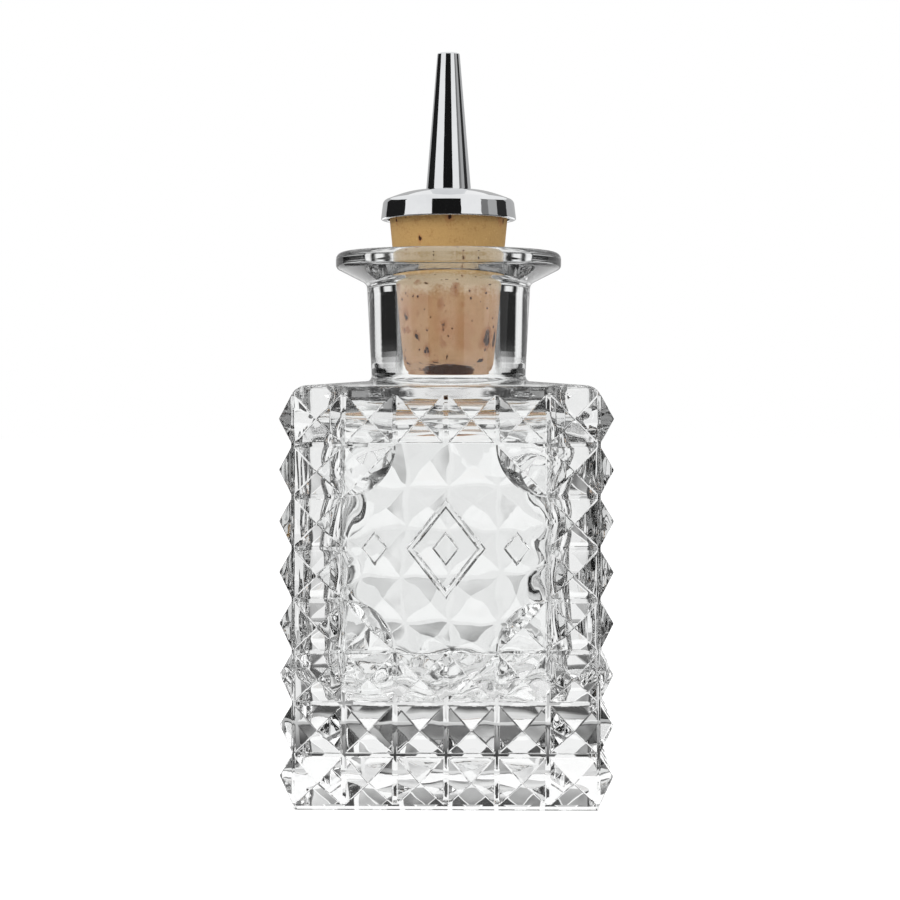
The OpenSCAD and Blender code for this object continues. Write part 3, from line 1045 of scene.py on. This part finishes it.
@dataclass
class Studio:
    """Floor, cards, lamps, world and camera."""

    floor_radius: float = 3.0
    card_distance: float = 0.9
    room_level: float = 0.74
    lens: float = 85.04
    distance: float = 0.4
    eye_height: float = 0.0738
    azimuth: float = 0.99
    pitch: float = -1.56
    eye_shift: float = 0.00027
    flag_level: float = 0.02
    corner_level: float = 0.02
    inner_level: float = 1.3
    ceiling_level: float = 0.9
    solid_ceiling: float = 0.8
    strip_level: float = 0.88
    apron_level: float = 0.02
    echo_level: float = 0.01
    shade_level: float = 0.05
    wide_strip: tuple[float, float] = (27.0, 21.0)
    tight_strip: tuple[float, float] = (20.0, 12.0)
    cards: tuple[Card, ...] = (
        Card(-28, 23, 0.0, 0.55, 0.01),
        Card(-134, -80, 0.0, 0.55, 0.015),
        Card(60, 74, 0.0, 0.55, 0.22),
        Card(74, 94, 0.0, 0.55, 0.45),
        Card(94, 121, 0.0, 0.55, 0.03),
        Card(121, 226, 0.0, 0.55, 0.5),
        Card(-134, 121, 0.0006, 0.0006, 0.01, 0.075),
    )

    def build(self) -> None:
        """Builds the whole studio."""
        self._camera()
        self._world()
        self._floor()
        for i, card in enumerate(self.cards):
            self._card(i, card)
        self._lamp("key_lamp", -52, 38, 1.1, 0.7, 5.6)
        self._lamp("fill_lamp", 42, 30, 1.2, 0.6, 2.6)
        self._lamp("top_lamp", 150, 76, 1.1, 0.9, 2.2)
        scene = bpy.context.scene
        scene.view_settings.view_transform = "Standard"
        scene.cycles.max_bounces = 24
        scene.cycles.transmission_bounces = 20
        scene.cycles.glossy_bounces = 12

    def _camera(self) -> None:
        """Places the camera at the photograph's viewing angle."""
        data = bpy.data.cameras.new("camera")
        data.lens, data.sensor_width, data.clip_start, data.clip_end = self.lens, 36.0, 0.02, 20.0
        camera = bpy.data.objects.new("camera", data)
        a = math.radians(self.azimuth)
        side, back = Vector((math.cos(a), math.sin(a), 0)), Vector((math.sin(a), -math.cos(a), 0))
        camera.location = side * self.eye_shift + back * self.distance + Vector((0, 0, self.eye_height))
        camera.rotation_euler = (math.radians(90 + self.pitch), 0.0, a)
        bpy.context.scene.collection.objects.link(camera)
        bpy.context.scene.camera = camera

    @staticmethod
    def _shown(bench: Bench) -> tuple[bpy.types.NodeSocket, bpy.types.NodeSocket]:
        """Tells apart the rays that show the backdrop.

        Args:
            bench: Bench of the tree.

        Returns:
            1 for rays from the camera, off metal and through glass, and 1 for those that only glass has bent.
        """
        rays = bench.put("ShaderNodeLightPath").outputs
        first = bench.sum("MAXIMUM", rays["Is Camera Ray"], rays["Is Glossy Ray"])
        through = bench.sum("MULTIPLY", rays["Is Transmission Ray"], bench.sum("LESS_THAN", rays["Diffuse Depth"], 0.5))
        return bench.sum("MAXIMUM", first, rays["Is Transmission Ray"]), through

    def _flags(self, bench: Bench) -> bpy.types.NodeSocket:
        """Gives the level that glass sees in each direction: white behind each face, grey flags between.

        Args:
            bench: Bench of the world's tree.

        Returns:
            The level's socket.
        """
        way = bench.put("ShaderNodeSeparateXYZ", {0: bench.put("ShaderNodeTexCoord").outputs["Generated"]}).outputs
        x, y = (bench.sum("ABSOLUTE", way[i], 0.0) for i in (0, 1))
        flat = bench.sum("SQRT", bench.sum("ADD", bench.sum("MULTIPLY", x, x), bench.sum("MULTIPLY", y, y)), 0.0)
        axis = bench.sum("DIVIDE", bench.sum("MAXIMUM", x, y), flat)
        wide, tight = (
            bench.span(axis, math.cos(math.radians(start)), math.cos(math.radians(end)), self.flag_level, 1.0)
            for start, end in (self.wide_strip, self.tight_strip)
        )
        solid = self._solid(bench)
        level = bench.put("ShaderNodeMix", {0: solid, 2: wide, 3: tight}).outputs[0]
        corner = bench.span(axis, math.cos(math.radians(38)), math.cos(math.radians(28)), 1.0, 0.0)
        level = bench.put("ShaderNodeMix", {0: corner, 2: level, 3: self.corner_level}).outputs[0]
        level = self._echo(bench, level)
        ceiling = bench.put("ShaderNodeMix", {0: solid, 2: self.ceiling_level, 3: self.solid_ceiling}).outputs[0]
        return bench.put("ShaderNodeMix", {0: bench.span(way[2], 0.3, 0.55), 2: level, 3: ceiling}).outputs[0]

    @staticmethod
    def _solid(bench: Bench) -> bpy.types.NodeSocket:
        """Tells rays that crossed only solid glass, such as the thick base, from those that crossed the cavity."""
        return bench.sum("LESS_THAN", bench.put("ShaderNodeLightPath").outputs["Transmission Depth"], 3.5)

    def _echo(self, bench: Bench, level: bpy.types.NodeSocket) -> bpy.types.NodeSocket:
        """Lowers a level for rays that have bounced inside the glass, which see the dark end of the studio.

        Args:
            bench: Bench of the tree.
            level: The level for rays that go straight through.

        Returns:
            The level's socket.
        """
        bounced = bench.span(bench.put("ShaderNodeLightPath").outputs["Glossy Depth"], 1.0, 2.5, 1.0, self.echo_level)
        return bench.sum("MULTIPLY", level, bounced)

    def _aprons(self, bench: Bench) -> bpy.types.NodeSocket:
        """Gives the level of the floor as glass sees it: white strips out from each face, grey aprons between.

        Args:
            bench: Bench of the floor's tree.

        Returns:
            The level's socket.
        """
        where = bench.put("ShaderNodeTexCoord").outputs["Object"]
        reach = bench.put("ShaderNodeVectorMath", {0: where}, operation="LENGTH").outputs["Value"]
        part = bench.put("ShaderNodeSeparateXYZ", {0: where}).outputs
        x, y = (bench.sum("ABSOLUTE", part[i], 0.0) for i in (0, 1))
        aside = bench.sum("DIVIDE", bench.sum("SUBTRACT", bench.sum("MINIMUM", x, y), 0.027), reach)
        wide, tight = (bench.span(aside, *reach_out, self.strip_level, self.apron_level) for reach_out in ((0.34, 0.5), (0.18, 0.34)))
        level = bench.put("ShaderNodeMix", {0: self._solid(bench), 2: wide, 3: tight}).outputs[0]
        skew = bench.sum("DIVIDE", bench.sum("SUBTRACT", bench.sum("MAXIMUM", x, y), bench.sum("MINIMUM", x, y)), reach)
        far = bench.sum("MULTIPLY", bench.span(skew, 0.2, 0.4, 1.0, 0.0), bench.span(reach, 0.08, 0.16))
        level = bench.put("ShaderNodeMix", {0: far, 2: level, 3: self.strip_level}).outputs[0]
        shade = bench.sum("MAXIMUM", bench.span(reach, 0.05, 0.11, self.shade_level, 1.0), bench.span(reach, 0.034, 0.042, 0.8, 0.0))
        return self._echo(bench, bench.sum("MULTIPLY", level, shade))

    def _world(self) -> None:
        """Makes the world white to look at, and a plain level as light."""
        world = bpy.data.worlds.new("studio")
        bpy.context.scene.world = world
        world.use_nodes = True
        bench = Bench(world.node_tree)
        shown, through = self._shown(bench)
        seen = bench.sum("GREATER_THAN", bench.put("ShaderNodeLightPath").outputs["Diffuse Depth"], 0.5)
        level = bench.put("ShaderNodeMix", {0: seen, 2: 1.0, 3: self.inner_level}).outputs[0]
        level = bench.put("ShaderNodeMix", {0: through, 2: level, 3: self._flags(bench)}).outputs[0]
        room = bench.put("ShaderNodeBackground", {"Color": (1, 1, 1, 1), "Strength": self.room_level})
        white = bench.put("ShaderNodeBackground", {"Color": (1, 1, 1, 1), "Strength": level})
        mixed = bench.put("ShaderNodeMixShader", {0: shown, 1: room.outputs[0], 2: white.outputs[0]})
        bench.put("ShaderNodeOutputWorld", {"Surface": mixed.outputs[0]})

    def _floor(self) -> None:
        """Lays the pale floor, which keeps the object's shadow."""
        shape = Shape("floor")
        bmesh.ops.create_circle(shape.bm, cap_ends=True, segments=96, radius=self.floor_radius)
        floor = shape.thing()
        material, bench = new_material("pale_floor")
        patches = bench.put("ShaderNodeTexNoise", {"Vector": bench.place(), "Scale": 3.0, "Detail": 2.0})
        colour = bench.ramp(patches.outputs["Fac"], [(0.0, (0.46, 0.46, 0.46, 1)), (1.0, (0.5, 0.5, 0.5, 1))])
        matt = bench.put("ShaderNodeBsdfDiffuse", {"Color": colour})
        shown, through = self._shown(bench)
        glow = bench.put("ShaderNodeEmission", {"Color": (1, 1, 1, 1), "Strength": bench.sum("MULTIPLY", shown, 0.72)})
        both = bench.put("ShaderNodeAddShader", {0: matt.outputs[0], 1: glow.outputs[0]})
        glass_sees = bench.put("ShaderNodeEmission", {"Color": (1, 1, 1, 1), "Strength": self._aprons(bench)})
        mixed = bench.put("ShaderNodeMixShader", {0: through, 1: both.outputs[0], 2: glass_sees.outputs[0]})
        bench.put("ShaderNodeOutputMaterial", {"Surface": mixed.outputs[0]})
        floor.data.materials.append(material)

    def _card(self, number: int, card: Card) -> None:
        """Sets up one card.

        Args:
            number: Its number.
            card: Its place and level.
        """
        shape = Shape(f"card_{number}")
        a = math.radians(card.start)
        foot = Vector((math.sin(a), -math.cos(a), 0)) * self.card_distance
        verts = [shape.bm.verts.new((foot.x * k, foot.y * k, z)) for k, z in ((card.near, card.low), (1.0, card.high))]
        edge = shape.bm.edges.new(verts)
        turn = math.radians(card.end - card.start)
        bmesh.ops.spin(shape.bm, geom=[*verts, edge], cent=(0, 0, 0), axis=(0, 0, 1), dvec=(0, 0, 0), angle=turn, steps=12, use_merge=False)
        made = shape.thing()
        material, bench = new_material(f"card_{number}")
        glow = bench.put("ShaderNodeEmission", {"Color": (1, 1, 1, 1), "Strength": card.level})
        bench.put("ShaderNodeOutputMaterial", {"Surface": glow.outputs[0]})
        made.data.materials.append(material)
        made.visible_camera = made.visible_diffuse = made.visible_shadow = False
        made.visible_transmission = False

    @staticmethod
    def _lamp(name: str, azimuth: float, height: float, distance: float, size: float, power: float) -> None:
        """Hangs a soft square lamp that faces the object.

        Args:
            name: Name of the lamp.
            azimuth: Direction round the object in degrees, from -Y towards +X.
            height: Elevation in degrees.
            distance: Distance from the object's middle in metres.
            size: Side of the lamp in metres.
            power: Power in watts.
        """
        data = bpy.data.lights.new(name, "AREA")
        data.shape, data.size, data.energy = "SQUARE", size, power
        lamp = bpy.data.objects.new(name, data)
        a, e = math.radians(azimuth), math.radians(height)
        back = Vector((math.sin(a) * math.cos(e), -math.cos(a) * math.cos(e), math.sin(e)))
        lamp.location = Vector((0, 0, 0.07)) + back * distance
        lamp.rotation_euler = (-back).to_track_quat("-Z", "Y").to_euler()
        lamp.visible_camera = lamp.visible_glossy = lamp.visible_transmission = False
        bpy.context.scene.collection.objects.link(lamp)


# ---------------------------------------------------------------- making


def report(pieces: Iterable[bpy.types.Object], say: Callable[..., None] = LOG.info) -> None:
    """Says how many triangles each piece has.

    Args:
        pieces: The finished pieces.
        say: Where the lines go.
    """
    for piece in pieces:
        piece.data.calc_loop_triangles()
        say("%s: %d triangles", piece.name, len(piece.data.loop_triangles))


def main() -> None:
    """Builds the studio and every piece in order."""
    logging.basicConfig(level=logging.INFO, format="%(name)s %(message)s")
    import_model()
    Studio().build()
    shared = SharedEffects.build()
    glass, cork = ClearGlass().make(shared), NaturalCork().make(shared)
    plate, turned = CHROME.make(shared), STEEL.make(shared)
    pieces = [StuddedBottle().build(glass), CorkStopper().build(cork), *DashHead().build(plate, turned)]
    report(pieces)


if __name__ == "__main__":
    main()
